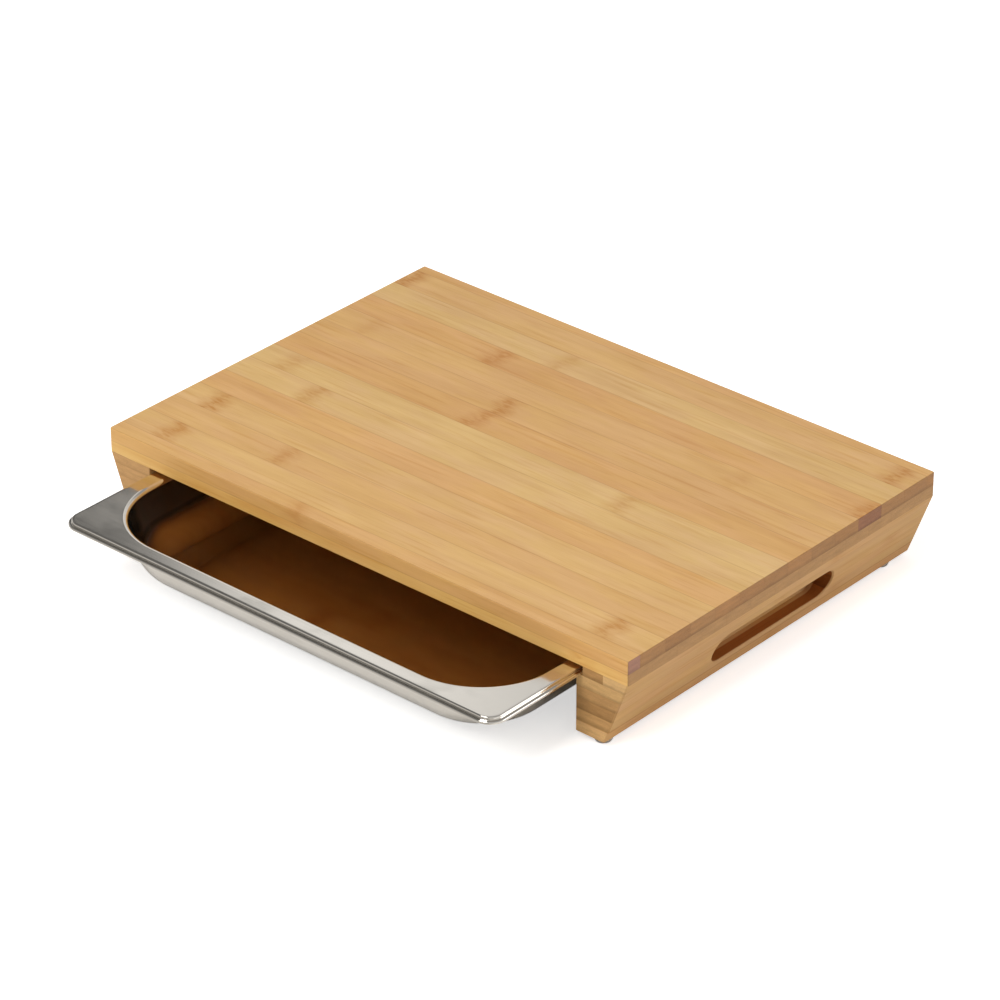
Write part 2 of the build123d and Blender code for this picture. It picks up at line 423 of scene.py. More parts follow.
def bamboo_group():
    """Grain of one piece of bamboo, with its fibres along X: streaks, cut ends, culm nodes and glue lines."""
    name = "Bamboo Grain"
    if name in bpy.data.node_groups:
        return bpy.data.node_groups[name]
    inputs = [
        ("Place", "Vector", (0.0, 0.0, 0.0)),
        ("Facing", "Vector", (0.0, 0.0, 0.0)),
        ("Seed", "Float", 0.0),
        ("Streaks", "Float", 1.0),
        ("Base Roughness", "Float", 0.5),
        ("Low Joints", "Vector", (-OPEN, -OPEN, -OPEN)),
        ("High Joints", "Vector", (OPEN, OPEN, OPEN)),
        ("Joint Strength", "Float", 0.5),
        ("Joint Width", "Float", 0.20),
        ("End Joint", "Float", 1.0),
        ("Skin Shade", "Float", 0.0),
        ("Split", "Float", OPEN),
        ("Pocket", "Float", 0.0),
        ("Mark A", "Float", OPEN),
        ("Mark B", "Float", OPEN),
        ("Mark Strength", "Float", 0.5),
    ]
    tints = ("Side Tint", "Down Tint", "Edge Tint", "Split Tint", "Pocket Tint")
    inputs += [(label, "Color", WHITE) for label in ("Pale", "Deep", "End Grain", *tints)]
    outputs = [("Color", "Color"), ("Roughness", "Float"), ("Height", "Float")]
    tree, w, given = new_group(name, inputs, outputs)

    place = w.in_millimetres(given["Place"])
    seeds = w.join(given["Seed"], given["Seed"], given["Seed"])
    grain = w.vector("ADD", place, w.vector("MULTIPLY", seeds, (137.0, 31.0, 17.0)))
    x, y, z = w.split(place)
    below = w.split(w.vector("SUBTRACT", place, given["Low Joints"]))
    above = w.split(w.vector("SUBTRACT", given["High Joints"], place))

    # Which way the face looks: an end, a side, the underside, or askew on an arris
    facing = w.split(w.vector("ABSOLUTE", given["Facing"]))
    is_end = w.span(facing[0], 0.60, 0.80)
    is_side = w.span(facing[1], 0.55, 0.85)
    is_under = w.span(w.split(given["Facing"])[2], -0.55, -0.85)
    is_arris = w.span(w.most(facing[0], w.most(facing[1], facing[2])), 0.93, 0.84)

    colour, hairs, bundles = fibres(w, given, grain)
    colour = culm_nodes(w, given, grain, x, colour)
    colour = w.stained(is_side, colour, given["Side Tint"])
    # Painted shade with warm bounce light on faces that look down, which the steel pan reflects
    colour = w.stained(is_under, colour, given["Down Tint"])
    end_colour, dots = cut_end(w, given, grain, y, z, below[2])
    colour = w.mix(is_end, colour, end_colour)
    colour = w.stained(is_arris, colour, given["Edge Tint"])
    joint = glue_lines(w, given, grain, below, above, is_end)
    colour = w.stained(joint, colour, GLUE_BROWN)
    # Painted shade inside the milled grips
    colour = w.stained(given["Pocket"], colour, given["Pocket Tint"])

    rough = w.plus(given["Base Roughness"], w.times(w.minus(hairs, 0.5), 0.16), w.times(is_end, 0.14))
    rough = w.math("ADD", rough, w.times(bundles, 0.06), clamp=True)
    height = w.minus(w.times(hairs, 0.5), w.times(bundles, 0.35))
    height = w.minus(height, w.times(joint, 0.9))
    height = w.plus(height, w.times(dots, is_end, 0.5))
    finish_group(w, {"Color": colour, "Roughness": rough, "Height": height})
    return tree


def steel_group():
    """Pressed steel: long rolling lines, smudges and shallow waves."""
    name = "Pressed Steel"
    if name in bpy.data.node_groups:
        return bpy.data.node_groups[name]
    inputs = [
        ("Place", "Vector", (0.0, 0.0, 0.0)),
        ("Clean", "Color", WHITE),
        ("Dull", "Color", WHITE),
        ("Base Roughness", "Float", 0.15),
        ("Smudge Roughness", "Float", 0.1),
    ]
    outputs = [("Color", "Color"), ("Roughness", "Float"), ("Height", "Float")]
    tree, w, given = new_group(name, inputs, outputs)
    place = w.in_millimetres(given["Place"])
    lines = w.noise(place, (0.02, 3.0, 3.0), 2.0)
    smudges = w.span(w.noise(place, (0.022, 0.03, 0.03), 3.0, 0.6), 0.42, 0.68)
    hazes = w.noise(place, (0.12, 0.16, 0.16), 2.0)
    waves = w.noise(place, (0.012, 0.014, 0.014), 1.0)
    dull = w.math("ADD", w.times(smudges, 0.55), w.times(lines, 0.30), clamp=True)
    rough = w.plus(given["Base Roughness"], w.times(smudges, given["Smudge Roughness"]))
    rough = w.plus(rough, w.times(w.minus(lines, 0.5), 0.10))
    rough = w.math("ADD", rough, w.times(hazes, 0.03), clamp=True)
    finish_group(w, {
        "Color": w.mix(dull, given["Clean"], given["Dull"]),
        "Roughness": rough,
        "Height": w.plus(waves, w.times(lines, 0.02)),
    })
    return tree


def new_material(name):
    """A material with an empty tree and its shader wired to the output."""
    material = bpy.data.materials.new(name)
    material.use_nodes = True
    material.node_tree.nodes.clear()
    w = Wiring(material.node_tree)
    shader = w.add("ShaderNodeBsdfPrincipled")
    w.add("ShaderNodeOutputMaterial", {"Surface": shader.outputs[0]})
    return material, w, shader


def wire_finish(w, shader, group_node, depth):
    """A group's colour, roughness and height to the shader."""
    w.feed(shader.inputs["Base Color"], group_node.outputs["Color"])
    w.feed(shader.inputs["Roughness"], group_node.outputs["Roughness"])
    relief = {"Strength": 1.0, "Distance": depth, "Height": group_node.outputs["Height"]}
    w.feed(shader.inputs["Normal"], w.add("ShaderNodeBump", relief).outputs[0])


def pocket_mask(w, coordinates, pocket):
    """1 inside a pocket that is milled into a leaning face, on both sides of X = 0, and 0 outside it.

    It sets in from 0.3 to 1.4 mm under the face, and fades out over 1 mm round the pocket's box.
    """
    low, high, lean, face = pocket
    x, y, z = w.split(w.vector("ABSOLUTE", coordinates))
    leaning = w.plus(x, w.times(z, lean))
    return w.times(
        w.span(leaning, face - 0.3 * MM, face - 1.4 * MM),
        w.span(x, low.x - MM, low.x),
        w.span(y, high.y + MM, high.y),
        w.span(z, high.z + MM, high.z),
        w.span(z, low.z - MM, low.z),
    )


def bamboo_material(name, turn=0.0, pocket=None, gloss=0.5, **look):
    """Bamboo with its fibres along X, or turned about Z, and the group's inputs given by name."""
    settings = bpy.context.scene.board_bamboo
    material, w, shader = new_material(name)
    w.feed(shader.inputs["Specular IOR Level"], gloss)
    coordinates = w.add("ShaderNodeTexCoord").outputs
    grain = w.add("ShaderNodeGroup", node_tree=bamboo_group())
    for label, source, kind in (("Place", "Object", "POINT"), ("Facing", "Normal", "VECTOR")):
        turned = {"Vector": coordinates[source], "Rotation": (0.0, 0.0, turn)}
        w.feed(grain.inputs[label], w.add("ShaderNodeMapping", turned, vector_type=kind).outputs[0])
    w.feed(grain.inputs["Streaks"], settings.streaks)
    w.feed(grain.inputs["Base Roughness"], settings.roughness)
    for label, value in look.items():
        w.feed(grain.inputs[label.replace("_", " ").title()], value)
    # Painted shade inside the milled grips, where the pocket mask says so
    if pocket:
        w.feed(grain.inputs["Pocket"], pocket_mask(w, coordinates["Object"], pocket))
        w.feed(grain.inputs["Pocket Tint"], settings.grip_painted_shade)
    wire_finish(w, shader, grain, settings.grain_depth)
    return material


def toned(colour, factor, warmth=0.0):
    """A colour made brighter by a factor, and redder by a share."""
    red, green, blue = (channel * factor * (1.0 + share * warmth) for channel, share in zip(colour, WARMTH))
    return (min(1.0, red), green, blue, 1.0)


def dress(node_name, material):
    """Gives a node of the packed model its material."""
    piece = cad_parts[node_name]
    piece.data.materials.clear()
    piece.data.materials.append(material)


def new_object(name, data):
    """An object that shows some data, put in the scene."""
    piece = bpy.data.objects.new(name, data)
    bpy.context.scene.collection.objects.link(piece)
    return piece


def box_mm(node_name):
    """Lowest and highest corner of a node, in millimetres."""
    low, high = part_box(node_name)
    return low / MM, high / MM


# ---- Wood

def node_names(stem):
    """The nodes whose names begin with a stem, in order."""
    return sorted(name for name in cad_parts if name.startswith(stem))


def side_joints(low, high, names):
    """Where a strip meets its neighbours along Y, left open on the outside of its ply."""
    lows, highs = zip(*(box_mm(name) for name in names))
    first = min(corner.y for corner in lows)
    last = max(corner.y for corner in highs)
    start = -OPEN if low.y < first + SIDE_SLACK else low.y
    end = OPEN if high.y > last - SIDE_SLACK else high.y
    return start, end


def dress_ply(stem, slot_name, pale, deep, ply_joint, marks, tones, ends, every_end=None, **tints):
    """Finishes the strips of one ply. ends gives some strips, by number, their own colour of cut end."""
    settings = bpy.context.scene.board_bamboo
    names = node_names(stem)
    for number, name in enumerate(names, start=1):
        draw = random.Random(name)
        low, high = box_mm(name)
        start, end = side_joints(low, high, names)
        tone = 1.0 + draw.uniform(-1.0, 1.0) * settings.tone_spread
        if tones:
            tone = 1.0 + (tones[number - 1] - 1.0) * settings.tone_spread / USUAL_SPREAD
        warmth = draw.uniform(-0.03, 0.04) + DARK_WARMTH * (1.0 - tone)
        mark = marks.get(number) or (draw.uniform(-170.0, 170.0), OPEN, draw.uniform(0.5, 0.9))
        end_tone = draw.uniform(0.93, 1.07)
        own_end = ends.get(number, every_end)
        material = bamboo_material(
            name + "_bamboo",
            seed=float(number) + draw.uniform(0.0, 0.9),
            pale=toned(pale, tone, warmth),
            deep=toned(deep, tone, warmth),
            edge_tint=(0.80, 0.79, 0.77, 1.0),
            end_grain=own_end or toned(settings.end_grain, end_tone, draw.uniform(-0.02, 0.06)),
            skin_shade=0.22,
            low_joints=(-OPEN, start, ply_joint[0]),
            high_joints=(OPEN, end, ply_joint[1]),
            joint_strength=0.34,
            joint_width=0.45,
            end_joint=0.35,
            mark_a=mark[0],
            mark_b=mark[1],
            mark_strength=mark[2],
            **tints,
        )
        dress(name, material)


class CUTTINGBOARD_OT_top_strips(bpy.types.Operator):
    """Finish the upper ply of the board, strip by strip"""

    bl_idname = "cutting_board.top_strips"
    bl_label = "Top Strips"

    def execute(self, context):
        settings = context.scene.board_bamboo
        ply_bottom = box_mm("top_strip_05")[0].z
        ends = {1: (0.400, 0.195, 0.125, 1.0), 11: (0.300, 0.125, 0.055, 1.0)}
        dress_ply(
            "top_strip_", "bamboo_top", settings.top_pale, settings.top_deep,
            (ply_bottom, OPEN), TOP_MARKS, TOP_TONES, ends, side_tint=(1.02, 0.98, 0.86, 1.0)
        )
        return {"FINISHED"}


class CUTTINGBOARD_OT_under_strips(bpy.types.Operator):
    """Finish the lower ply of the board, strip by strip"""

    bl_idname = "cutting_board.under_strips"
    bl_label = "Under Strips"

    def execute(self, context):
        settings = context.scene.board_bamboo
        ply_top = box_mm("under_strip_05")[1].z
        # The faces of the lower ply that look down get painted shade with warm bounce light
        dress_ply(
            "under_strip_", "bamboo_under", settings.under_pale, settings.under_deep,
            (-OPEN, ply_top), {}, (), {}, tuple(settings.under_end), down_tint=(1.0, 0.70, 0.48, 1.0)
        )
        return {"FINISHED"}


class CUTTINGBOARD_OT_rails(bpy.types.Operator):
    """Finish the layers of both rails, and the tongues that hold the rails to the board"""

    bl_idname = "cutting_board.rails"
    bl_label = "Rails"

    quarter_turn = -math.pi / 2
    head_joint = -177.7
    grip_low = Vector((176.0, 0.0, 27.0)) * MM
    grip_high = Vector((195.0, 53.0, 47.0)) * MM
    right_ends = {
        1: (0.645, 0.395, 0.168, 1.0),
        2: (0.565, 0.340, 0.138, 1.0),
        3: (0.460, 0.255, 0.097, 1.0),
        4: (0.385, 0.205, 0.074, 1.0),
        5: (0.500, 0.280, 0.105, 1.0),
        6: (0.660, 0.395, 0.165, 1.0),
    }

    def grip(self, names):
        """The grip's box, the lean of the outer face, and that face's X at the top of the board.

        The face is read from the outer top edges of the highest layer and of the last but one.
        """
        head_low, head_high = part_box(names[0])
        foot_low, foot_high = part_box(names[-2])
        head = Vector((max(abs(head_low.x), abs(head_high.x)), -head_high.z))
        foot = Vector((max(abs(foot_low.x), abs(foot_high.x)), -foot_high.z))
        lean = (head.x - foot.x) / (foot.y - head.y)
        return self.grip_low, self.grip_high, lean, head.x + lean * head.y

    def execute(self, context):
        settings = context.scene.board_bamboo
        for side in ("left", "right"):
            names = node_names(side + "_rail_layer_")
            grip = self.grip(names)
            for number, name in enumerate(names, start=1):
                draw = random.Random(name)
                low, high = box_mm(name)
                lowest = number == len(names)
                tone = 1.0 + draw.uniform(-1.0, 1.0) * settings.tone_spread
                ends = self.right_ends[number] if side == "right" else toned(settings.rail_end, 1.12)
                warmth = 0.10 if lowest else draw.uniform(-0.01, 0.02)
                material = bamboo_material(
                    name + "_bamboo",
                    turn=self.quarter_turn,
                    seed=40.0 + number + draw.uniform(0.0, 0.9) + (10.0 if side == "left" else 0.0),
                    pale=toned(settings.rail_pale, tone, warmth),
                    deep=toned(settings.rail_deep, tone, warmth),
                    edge_tint=(0.96, 0.95, 0.94, 1.0),
                    skin_shade=0.25 if side == "right" else 0.12,
                    split=self.head_joint if name == "right_rail_layer_1" else OPEN,
                    split_tint=(0.66, 0.58, 0.50, 1.0),
                    pocket=grip,
                    end_grain=ends,
                    low_joints=(-OPEN, -OPEN, -OPEN if lowest else low.z),
                    high_joints=(OPEN, OPEN, high.z),
                    joint_strength=0.62 if lowest else 0.22,
                    joint_width=1.10 if lowest else 0.20,
                    mark_a=draw.uniform(-120.0, 120.0),
                    mark_strength=0.35,
                    gloss=0.12,
                )
                dress(name, material)
        for name in TONGUE_NODES:
            material = bamboo_material(
                name + "_bamboo", turn=self.quarter_turn, pale=settings.rail_pale, deep=settings.rail_deep,
                end_grain=settings.rail_end
            )
            dress(name, material)
        return {"FINISHED"}


# ---- The pan

def arc(centre, radius, start, end, steps):
    """Points on an arc, given by its angles in degrees."""
    angles = (math.radians(start + (end - start) * step / steps) for step in range(steps + 1))
    return [(centre[0] + radius * math.cos(angle), centre[1] + radius * math.sin(angle)) for angle in angles]


def rounded_outline(half_x, half_y, corner, z, corner_steps, side_steps):
    """Points round a rounded rectangle, the same number whatever its size."""
    corners = ((1, 1), (-1, 1), (-1, -1), (1, -1))
    arcs = []
    for turn, (side_x, side_y) in enumerate(corners):
        centre = Vector((side_x * (half_x - corner), side_y * (half_y - corner), z))
        angles = [math.pi / 2 * (turn + step / corner_steps) for step in range(corner_steps + 1)]
        arcs.append([centre + corner * Vector((math.cos(angle), math.sin(angle), 0.0)) for angle in angles])
    outline = []
    for turn, points in enumerate(arcs):
        outline += points
        following = arcs[(turn + 1) % len(arcs)][0]
        outline += [points[-1].lerp(following, step / side_steps) for step in range(1, side_steps)]
    return outline


def drawn_in(ring, share):
    """A ring drawn in towards its middle, to a share of its size."""
    return [point.lerp(Vector((0, 0, point.z)), 1 - share) for point in ring]


class PanSection:
    """Section of the pan, from the middle of its floor over the flange and the lip and back underneath."""

    lip_edge_bend = 0.15 * MM
    crease_bend = 0.30 * MM
    tight_bend = 0.10 * MM
    support = 0.25 * MM
    shoulder_steps = 10
    lip_steps = 6
    edge_steps = 3
    tight_steps = 2
    floor_shares = (0.25, 0.5, 0.75, 0.97)

    def __init__(self, pan, half_length, half_width):
        self.pan = pan
        self.mouth = (half_length - pan.rim_to_mouth, half_width - pan.rim_to_mouth)
        self.flat = (half_length - pan.lip_width, half_width - pan.lip_width)
        self.flat_corner = pan.lip_corner - pan.lip_width

    def wall_arcs(self, thickness):
        """Floor bend and shoulder, as points of (inset from the mouth, height), from the floor outwards."""
        pan = self.pan
        lean = math.degrees(pan.draft)
        inner_floor = -(pan.depth - pan.sheet)
        turn = math.tan((math.pi / 2 - pan.draft) / 2)
        foot_inset = -inner_floor * math.tan(pan.draft) + pan.floor_bend * turn
        floor_centre = (foot_inset, inner_floor + pan.floor_bend)
        shoulder_centre = (-pan.shoulder_bend * turn, -pan.shoulder_bend)
        bend = arc(floor_centre, pan.floor_bend + thickness, -90.0, -180.0 + lean, pan.bend_steps)
        shoulder = arc(shoulder_centre, pan.shoulder_bend - thickness, lean, 90.0, self.shoulder_steps)
        return bend, shoulder

    def lip_top(self):
        """Top of the lip, as points of (outset from the flat, height), outwards and round its edge."""
        pan = self.pan
        step_x = pan.lip_width - pan.lip_ledge
        bend = pan.lip_bend
        crease = self.crease_bend
        edge = self.lip_edge_bend
        points = arc((step_x - bend, -bend), bend, 90.0, 0.0, self.lip_steps)
        points += arc((step_x + crease, -pan.lip_step + crease), crease, 180.0, 270.0, self.lip_steps)
        points += arc((pan.lip_width - bend, -pan.lip_step - bend), bend, 90.0, 0.0, self.lip_steps)
        points += arc((pan.lip_width - edge, -pan.lip_height + edge), edge, 0.0, -90.0, self.edge_steps)
        return points

    def lip_under(self):
        """Underside of the lip, inwards to the flange."""
        pan = self.pan
        step_x = pan.lip_width - pan.lip_ledge
        sheet = pan.sheet
        edge = self.lip_edge_bend
        tight = self.tight_bend
        crease = self.crease_bend
        inner_x = pan.lip_width - sheet
        points = arc((inner_x + edge, -pan.lip_height + edge), edge, -90.0, -180.0, self.edge_steps)
        points += arc((inner_x - tight, -pan.lip_step - sheet - tight), tight, 0.0, 90.0, self.tight_steps)
        points += arc((step_x + crease, -pan.lip_step + crease), crease + sheet, 270.0, 180.0, self.lip_steps)
        points += arc((step_x - sheet - tight, -sheet - tight), tight, 0.0, 90.0, self.tight_steps)
        return points

    def outlines(self):
        """Every ring of the skin, in order, each a list of points."""
        pan = self.pan
        steps = (pan.corner_steps, pan.side_steps)

        def by_mouth(inset, z):
            return rounded_outline(
                self.mouth[0] - inset, self.mouth[1] - inset, pan.mouth_corner - inset, z, *steps
            )

        def by_flat(outset, z):
            return rounded_outline(
                self.flat[0] + outset, self.flat[1] + outset, self.flat_corner + outset, z, *steps
            )

        top_bend, top_shoulder = self.wall_arcs(0.0)
        under_bend, under_shoulder = self.wall_arcs(pan.sheet)
        shoulder_end = top_shoulder[-1][0] - self.support

        top_floor = by_mouth(*top_bend[0])
        under_floor = by_mouth(*under_bend[0])
        rings = [drawn_in(top_floor, share) for share in self.floor_shares]
        rings += [by_mouth(*point) for point in self.with_supports(top_bend, top_shoulder)]
        rings.append(by_mouth(shoulder_end, 0.0))
        rings.append(by_flat(-self.support, 0.0))
        rings += [by_flat(*point) for point in self.lip_top() + self.lip_under()]
        rings.append(by_flat(-self.support, -pan.sheet))
        rings.append(by_mouth(shoulder_end, -pan.sheet))
        rings += [by_mouth(*point) for point in reversed(self.with_supports(under_bend, under_shoulder))]
        rings += [drawn_in(under_floor, share) for share in reversed(self.floor_shares)]
        return rings

    def with_supports(self, bend, shoulder):
        """The two bends of the wall, with a ring close to each on the straight between them."""
        low = Vector(bend[-1])
        high = Vector(shoulder[0])
        along = (high - low).normalized() * self.support
        return bend + [tuple(low + along), tuple(high - along)] + shoulder


def skin(name, rings, place):
    """A closed mesh over rings of equal length, with a point in the middle of its first and last ring."""
    mesh = bmesh.new()
    rows = [[mesh.verts.new(point + place) for point in ring] for ring in rings]
    count = len(rows[0])
    for inner, outer in zip(rows, rows[1:]):
        for index in range(count):
            after = (index + 1) % count
            mesh.faces.new((inner[index], inner[after], outer[after], outer[index]))
    for row in (rows[0], rows[-1]):
        centre = mesh.verts.new(sum((vertex.co for vertex in row), Vector()) / count)
        for index in range(count):
            mesh.faces.new((row[index], row[(index + 1) % count], centre))
    bmesh.ops.recalc_face_normals(mesh, faces=mesh.faces)
    data = bpy.data.meshes.new(name)
    mesh.to_mesh(data)
    mesh.free()
    data.shade_smooth()
    return new_object(name, data)


def steel_material():
    """Pressed stainless steel."""
    settings = bpy.context.scene.board_steel
    material, w, shader = new_material("pressed_steel")
    steel = w.add("ShaderNodeGroup", {
        "Place": w.add("ShaderNodeTexCoord").outputs["Object"],
        "Clean": settings.tint,
        "Dull": settings.dull,
        "Base Roughness": settings.roughness,
        "Smudge Roughness": settings.smudge_roughness,
    }, node_tree=steel_group())
    w.feed(shader.inputs["Metallic"], 1.0)
    wire_finish(w, shader, steel, settings.wave_depth)
    return material


class CUTTINGBOARD_OT_pan(bpy.types.Operator):
    """Press the pan from one sheet, with its flange, stepped lip and wide floor bend"""

    bl_idname = "cutting_board.pan"
    bl_label = "Pan"

    def execute(self, context):
        low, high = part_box(PAN_NODE)
        half = (high - low) / 2
        section = PanSection(context.scene.board_pan, half.x, half.y)
        place = Vector(((low.x + high.x) / 2, (low.y + high.y) / 2, high.z))
        piece = skin("pressed_pan", section.outlines(), place)
        piece.data.materials.append(steel_material())
        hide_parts(PAN_NODE)
        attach(piece, PAN_BODY)
        return {"FINISHED"}


# ---- The feet

def foot_material():
    """Soft see-through plastic, a little cloudy."""
    material, w, shader = new_material("clear_bumper")
    settings = bpy.context.scene.board_feet
    place = w.add("ShaderNodeTexCoord").outputs["Object"]
    cloud = w.noise(place, (420.0, 420.0, 420.0), 3.0)
    dark = toned(settings.colour, 0.72)
    w.feed(shader.inputs["Base Color"], w.mix(cloud, settings.colour, dark))
    w.feed(shader.inputs["Roughness"], w.span(cloud, 0.3, 0.7, 0.24, 0.40))
    w.feed(shader.inputs["Transmission Weight"], settings.clearness)
    w.feed(shader.inputs["IOR"], 1.45)
    return material


def foot_tree(material):
    """Geometry nodes: one drawn-in foot, set on the four corners of a rectangle."""
    sizes = [("Centre", "Vector", (0.0, 0.0, 0.0)), ("Sides", "Int", 0), ("Rings", "Int", 0)]
    sizes += [(label, "Float", 0.0) for label in ("Span X", "Span Y", "Radius", "Height", "Rounding")]
    tree, w, given = new_group("Bumper Feet", sizes, [("Geometry", "Geometry")], "GeometryNodeTree")
    body = w.add("GeometryNodeMeshCylinder", {
        "Vertices": given["Sides"], "Side Segments": given["Rings"], "Fill Segments": 4,
        "Radius": given["Radius"], "Depth": given["Height"],
    }, fill_type="TRIANGLE_FAN")
    position = w.add("GeometryNodeInputPosition").outputs[0]
    x, y, z = w.split(position)
    down = w.minus(0.5, w.math("DIVIDE", z, given["Height"]))
    drawn = w.times(w.math("POWER", w.most(down, 0.0), 2.0), given["Rounding"])
    share = w.math("SQRT", w.most(w.minus(1.0, drawn), 0.0))
    shaped = w.join(w.times(x, share), w.times(y, share), z)
    foot = w.add("GeometryNodeSetPosition", {"Geometry": body.outputs["Mesh"], "Position": shaped})
    corners = w.add("GeometryNodeMeshGrid", {
        "Size X": given["Span X"], "Size Y": given["Span Y"], "Vertices X": 2, "Vertices Y": 2,
    })
    moved = {"Geometry": corners.outputs["Mesh"], "Translation": given["Centre"]}
    placed = w.add("GeometryNodeTransform", moved)
    copies = w.add("GeometryNodeInstanceOnPoints", {"Points": placed.outputs[0], "Instance": foot.outputs[0]})
    whole = w.add("GeometryNodeRealizeInstances", {"Geometry": copies.outputs[0]})
    smooth = w.add("GeometryNodeSetShadeSmooth", {"Geometry": whole.outputs[0]})
    painted = w.add("GeometryNodeSetMaterial", {"Geometry": smooth.outputs[0], "Material": material})
    finish_group(w, {"Geometry": painted.outputs[0]})
    return tree


def plain_mesh(name, tree, values):
    """Runs a geometry tree with named inputs and keeps its result as a plain mesh."""
    carrier = new_object(name, bpy.data.meshes.new(name + "_start"))
    modifier = carrier.modifiers.new(name, "NODES")
    modifier.node_group = tree
    for item in tree.interface.items_tree:
        if item.item_type == "SOCKET" and item.in_out == "INPUT":
            modifier[item.identifier] = values[item.name]
    evaluated = carrier.evaluated_get(bpy.context.evaluated_depsgraph_get())
    result = bpy.data.meshes.new_from_object(evaluated)
    carrier.modifiers.remove(modifier)
    carrier.data = result
    result.name = name
    return carrier


class CUTTINGBOARD_OT_feet(bpy.types.Operator):
    """Set a drawn-in bumper foot at each corner"""

    bl_idname = "cutting_board.feet"
    bl_label = "Feet"

    def execute(self, context):
        settings = context.scene.board_feet
        boxes = [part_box(name) for name in FOOT_NODES]
        centres = [(low + high) / 2 for low, high in boxes]
        low = Vector(min(centre[axis] for centre in centres) for axis in range(3))
        high = Vector(max(centre[axis] for centre in centres) for axis in range(3))
        first_low, first_high = boxes[0]
        values = {
            "Span X": high.x - low.x,
            "Span Y": high.y - low.y,
            "Centre": (low + high) / 2,
            "Radius": (first_high.x - first_low.x) / 2,
            "Height": first_high.z - first_low.z,
            "Rounding": settings.rounding,
            "Sides": settings.sides,
            "Rings": settings.rings,
        }
        piece = plain_mesh("bumper_feet", foot_tree(foot_material()), values)
        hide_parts(*FOOT_NODES)
        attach(piece, BOARD_BODY)
        return {"FINISHED"}


# ---- The studio

# How far in front of the object the floor that the steel sees begins to darken, and is all dark, in metres
DARK_FLOOR_STARTS = 0.018
DARK_FLOOR_FULL = 0.050

# The way to the flag, which dims the front left for the steel, and the least light that the steel sees
FLAG_TOWARDS = (-0.60, -0.66, 0.46)
LEAST_LIGHT = 0.14


def plane_mesh(name, half, height):
    """A flat square facing up."""
    data = bpy.data.meshes.new(name)
    corners = [(-half, -half, height), (half, -half, height), (half, half, height), (-half, half, height)]
    data.from_pydata(corners, [], [(0, 1, 2, 3)])
    return new_object(name, data)


def floor_material(settings):
    """Plain pale floor that keeps the shadow, and that the steel sees dark in front of the pan."""
    material, w, shader = new_material("studio_floor")
    place = w.add("ShaderNodeTexCoord").outputs["Object"]
    cloud = w.noise(place, (3.0, 3.0, 3.0))
    w.feed(shader.inputs["Base Color"], w.mix(cloud, settings.floor, toned(settings.floor, 0.99)))
    w.feed(shader.inputs["Roughness"], 0.9)
    w.feed(shader.inputs["Specular IOR Level"], 0.0)
    w.feed(shader.inputs["Emission Color"], WHITE)
    rays = w.add("ShaderNodeLightPath").outputs
    w.feed(shader.inputs["Emission Strength"], w.times(rays["Is Camera Ray"], settings.floor_glow))
    in_front = w.span(w.split(place)[1], FRONT_Y - DARK_FLOOR_STARTS, FRONT_Y - DARK_FLOOR_FULL)
    dark = w.add("ShaderNodeEmission", {"Color": (0.95, 0.93, 0.90, 1.0), "Strength": 0.62})
    seen_dark = w.times(rays["Is Glossy Ray"], in_front)
    both = w.add("ShaderNodeMixShader", {0: seen_dark, 1: shader.outputs[0], 2: dark.outputs[0]})
    output = next(node for node in w.tree.nodes if node.type == "OUTPUT_MATERIAL")
    w.feed(output.inputs["Surface"], both.outputs[0])
    return material


def aimed(ahead):
    """The turn of a lamp or camera that looks a given way."""
    return ahead.to_track_quat("-Z", "Y").to_euler()


def area_lamp(name, power, size, place, target):
    """A soft square lamp aimed at a point."""
    data = bpy.data.lights.new(name, "AREA")
    data.shape = "SQUARE"
    data.size = size
    data.energy = power
    lamp = new_object(name, data)
    lamp.location = place
    lamp.rotation_euler = aimed(Vector(target) - Vector(place))


def studio_world(settings, camera_yaw):
    """White for the camera, soft light from all round, and greys from left to right for the steel."""
    world = bpy.data.worlds.new("studio_world")
    world.use_nodes = True
    world.node_tree.nodes.clear()
    w = Wiring(world.node_tree)
    rays = w.add("ShaderNodeLightPath").outputs
    towards = w.add("ShaderNodeTexCoord").outputs["Generated"]
    across = w.dot(towards, (math.cos(camera_yaw), math.sin(camera_yaw), 0.0))
    height = w.split(towards)[2]

    # From the far left: pale, dark, white just left of the middle, and a little grey from there on
    sweep = w.times(w.span(across, -0.086, -0.046, 0.04, 1.0), w.span(across, -0.020, 0.012, 1.0, 0.76))
    sweep = w.most(sweep, w.span(across, -0.30, -0.48, 0.0, 0.85))
    above = w.span(height, 0.54, 0.68, 1.0, 0.50)
    shade = w.span(w.dot(towards, FLAG_TOWARDS), 0.50, 0.84, 1.0, 0.30)
    level = w.most(w.times(sweep, above, shade), w.most(rays["Is Camera Ray"], LEAST_LIGHT))
    grey = w.add("ShaderNodeCombineColor", {0: level, 1: level, 2: level}).outputs[0]
    seen = w.add("ShaderNodeBackground", {"Color": grey, "Strength": 1.0})
    soft = w.add("ShaderNodeBackground", {"Color": (1.0, 0.99, 0.975, 1.0), "Strength": settings.ambient})
    sees_sweep = w.most(rays["Is Camera Ray"], w.most(rays["Is Glossy Ray"], rays["Is Transmission Ray"]))
    both = w.add("ShaderNodeMixShader", {0: sees_sweep, 1: soft.outputs[0], 2: seen.outputs[0]})
    w.add("ShaderNodeOutputWorld", {"Surface": both.outputs[0]})
    bpy.context.scene.world = world


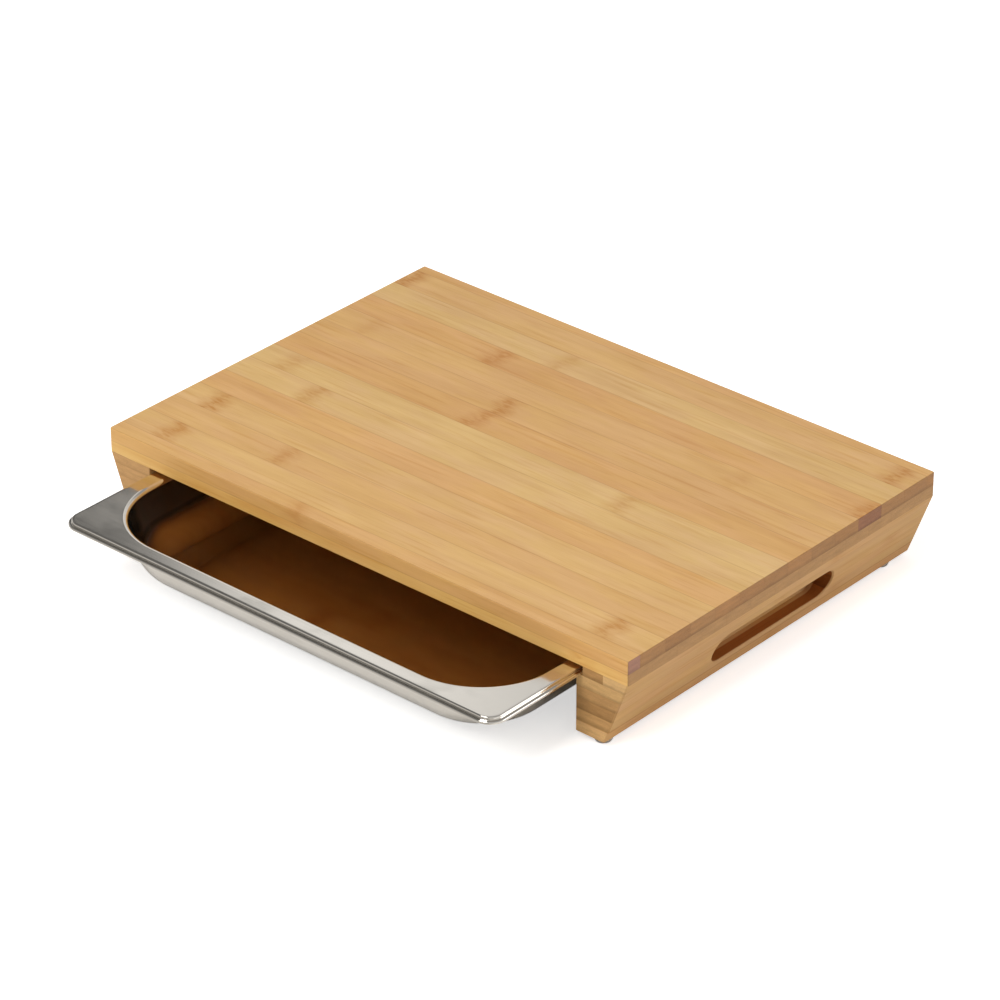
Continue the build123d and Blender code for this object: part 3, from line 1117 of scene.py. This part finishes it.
class CUTTINGBOARD_OT_studio(bpy.types.Operator):
    """Lay the floor, hang the lamps and place the camera"""

    bl_idname = "cutting_board.studio"
    bl_label = "Studio"

    # In metres and radians, fitted to the photograph's view
    camera_place = (1.5272, -1.7622, 1.3092)
    camera_yaw = 0.7187
    camera_pitch = 0.5225

    # Each lamp's name, the setting of its power, and its size, place and target in metres
    lamps = (
        ("key_lamp", "key_power", 1.3, (-0.12, -1.38, 1.78), (0.0, 0.0, 0.0)),
        ("side_lamp", "side_power", 1.0, (1.70, 1.00, 0.55), (0.1, 0.0, -0.03)),
    )

    def execute(self, context):
        scene = context.scene
        settings = scene.board_studio
        floor = plane_mesh("studio_floor", settings.floor_size / 2, CAD_BOUNDS[0][2])
        floor.data.materials.append(floor_material(settings))

        for name, power, size, place, target in self.lamps:
            area_lamp(name, getattr(settings, power), size, place, target)
        studio_world(settings, self.camera_yaw)

        data = bpy.data.cameras.new("studio_camera")
        data.sensor_fit = "HORIZONTAL"
        data.lens = settings.lens
        data.clip_start = 0.05
        data.clip_end = 50.0
        camera = new_object("studio_camera", data)
        level = math.cos(self.camera_pitch)
        ahead = Vector((
            -math.sin(self.camera_yaw) * level,
            math.cos(self.camera_yaw) * level,
            -math.sin(self.camera_pitch),
        ))
        camera.location = self.camera_place
        camera.rotation_euler = aimed(ahead)
        scene.camera = camera
        scene.view_settings.view_transform = "Standard"
        return {"FINISHED"}


class CUTTINGBOARD_PT_makers(bpy.types.Panel):
    """Every step of making the board, in order"""

    bl_idname = "CUTTINGBOARD_PT_makers"
    bl_label = "Cutting Board"
    bl_space_type = "VIEW_3D"
    bl_region_type = "UI"
    bl_category = "Cutting Board"

    def draw(self, context):
        for operator in OPERATORS:
            self.layout.operator(operator.bl_idname)
        for name, settings in SETTINGS.items():
            box = self.layout.box()
            box.label(text=settings.__doc__)
            for key in settings.__annotations__:
                box.prop(getattr(context.scene, name), key)


SETTINGS = {
    "board_bamboo": BambooSettings,
    "board_pan": PanSettings,
    "board_steel": SteelSettings,
    "board_feet": FootSettings,
    "board_studio": StudioSettings,
}
OPERATORS = (
    CUTTINGBOARD_OT_top_strips,
    CUTTINGBOARD_OT_under_strips,
    CUTTINGBOARD_OT_rails,
    CUTTINGBOARD_OT_pan,
    CUTTINGBOARD_OT_feet,
    CUTTINGBOARD_OT_studio,
)


def register():
    """Adds the settings, the operators and the panel."""
    for name, settings in SETTINGS.items():
        bpy.utils.register_class(settings)
        setattr(bpy.types.Scene, name, PointerProperty(type=settings))
    for operator in OPERATORS:
        bpy.utils.register_class(operator)
    bpy.utils.register_class(CUTTINGBOARD_PT_makers)


def unregister():
    """Takes the settings, the operators and the panel away."""
    bpy.utils.unregister_class(CUTTINGBOARD_PT_makers)
    for operator in reversed(OPERATORS):
        bpy.utils.unregister_class(operator)
    for name, settings in reversed(SETTINGS.items()):
        delattr(bpy.types.Scene, name)
        bpy.utils.unregister_class(settings)


def main():
    """Makes everything."""
    register()
    bpy.ops.cutting_board.top_strips()
    bpy.ops.cutting_board.under_strips()
    bpy.ops.cutting_board.rails()
    bpy.ops.cutting_board.pan()
    bpy.ops.cutting_board.feet()
    bpy.ops.cutting_board.studio()


if __name__ == "__main__":
    main()
